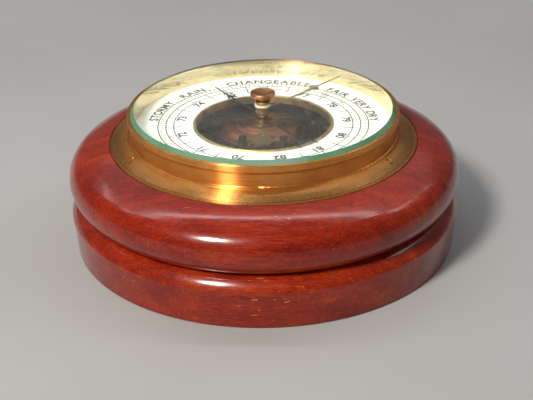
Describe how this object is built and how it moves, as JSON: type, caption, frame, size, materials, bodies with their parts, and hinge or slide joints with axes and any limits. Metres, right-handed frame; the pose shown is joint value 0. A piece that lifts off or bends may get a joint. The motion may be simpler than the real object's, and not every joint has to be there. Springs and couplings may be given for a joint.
{
  "type": "aneroid barometer",
  "caption": "Round aneroid barometer in a turned mahogany case with a spun brass bezel, bevelled glass, open dial over the movement, indicator hand and knob-set hand.",
  "frame": {"origin": "middle of the case's flat back, on the dial's axis", "axes": "+Z out of the dial towards the reader, +Y to the top of the dial, +X to the reader's right"},
  "size_m": [0.192, 0.192, 0.0752],
  "materials": {
    "mahogany": "gloss lacquer",
    "aged_brass": "spun, lacquered, aged",
    "bright_brass": "polished, slightly coppery",
    "gilt": "pale gilt, satin",
    "movement_brass": "dull machined brass",
    "copper_capsule": "tarnished coppery, corrugated",
    "dial_white": "satin white with black print",
    "fibre_washer": "pale greenish hard fibre",
    "clear_glass": "clear, ground bevel",
    "blued_steel": "heat-blued, polished",
    "bright_steel": "bright turned",
    "dark_steel": "browned, dull",
    "black_tin": "dull black lacquer",
    "zinc_plate": "dull zinc plated"
  },
  "bodies": {
    "case": {"wood_case": "mahogany", "bezel": "aged_brass", "bezel_screws": "aged_brass", "glass": "clear_glass", "reflector_ring": "gilt", "dial": "dial_white", "dial_ring": "aged_brass", "movement_can": "black_tin", "movement_plate": "movement_brass", "plate_screws": "bright_steel", "dial_pillars": "movement_brass", "pillar_screws": "bright_steel", "capsule_foot": "movement_brass", "capsule_lower": "copper_capsule", "capsule_upper": "copper_capsule", "capsule_spring": "bright_steel", "lever_bracket": "dark_steel", "lever_shaft": "bright_steel", "rocker_brackets": "movement_brass", "bracket_screws": "bright_steel", "arbor_bush": "movement_brass", "hairspring": "blued_steel", "hairspring_stud": "movement_brass", "arbor_bridge": "movement_brass", "bridge_posts": "movement_brass", "bridge_screws": "blued_steel", "knob_washers": "fibre_washer", "back_cover": "zinc_plate", "cover_screws": "bright_steel", "hanger_plate": "aged_brass", "hanger_screws": "bright_steel"},
    "setting_hand": {"setting_knob": "bright_brass", "set_hand": "bright_brass", "set_hand_nut": "bright_brass"},
    "pointer": {"arbor": "bright_steel", "chain_drum": "movement_brass", "hairspring_collet": "movement_brass", "hand_pipe": "movement_brass", "indicator_hand": "blued_steel", "hand_collet": "bright_brass"},
    "chain": {"chain": "bright_steel"},
    "rocker": {"rocker_shaft": "bright_steel", "rocker_crank": "movement_brass", "rocker_arm": "movement_brass"},
    "link": {"link_rod": "bright_steel"},
    "lever": {"main_lever": "dark_steel", "lever_pin": "bright_steel"},
    "capsule_top": {"capsule_post": "movement_brass"},
    "adjuster": {"adjusting_screw": "bright_steel"}
  },
  "joints": [
    {"name": "setting_turn", "type": "hinge", "parent": "case", "child": "setting_hand", "pos_m": [0, 0, 0.068], "axis": [0, 0, 1], "continuous": true},
    {"name": "pointer_turn", "type": "hinge", "parent": "case", "child": "pointer", "pos_m": [0, 0, 0.0596], "axis": [0, 0, 1], "range_deg": [-200, 131], "deforming": ["hairspring"]},
    {"name": "chain_run", "type": "slide", "parent": "case", "child": "chain", "axis": [1, 0, 0], "range_m": [-0.00177, 0.0027]},
    {"name": "rocker_turn", "type": "hinge", "parent": "case", "child": "rocker", "pos_m": [-0.03, 0, 0.0355], "axis": [0, 1, 0], "range_deg": [-11.91, 18.18]},
    {"name": "link_lift", "type": "slide", "parent": "case", "child": "link", "axis": [0, 0, 1], "range_m": [-0.00102, 0.00066]},
    {"name": "lever_lift", "type": "hinge", "parent": "case", "child": "lever", "pos_m": [0.024, 0.025, 0.0485], "axis": [0, 1, 0], "range_deg": [-1.15, 0.75]},
    {"name": "capsule_breathe", "type": "slide", "parent": "case", "child": "capsule_top", "axis": [0, 0, 1], "range_m": [-0.0005196, 0.0003403], "deforming": ["capsule_upper", "capsule_spring"]},
    {"name": "adjuster_turn", "type": "hinge", "parent": "case", "child": "adjuster", "pos_m": [-0.002, 0.025, 0.0298], "axis": [0, 0, 1], "range_deg": [-360, 360]}
  ],
  "couplings": [
    {"joint": "chain_run", "follows": "pointer_turn", "m_per_rad": -0.00075},
    {"joint": "rocker_turn", "follows": "pointer_turn", "ratio": -0.088235},
    {"joint": "link_lift", "follows": "pointer_turn", "m_per_rad": 0.00028235},
    {"joint": "lever_lift", "follows": "pointer_turn", "ratio": 0.0055581},
    {"joint": "capsule_breathe", "follows": "pointer_turn", "m_per_rad": 0.00014451}
  ]
}
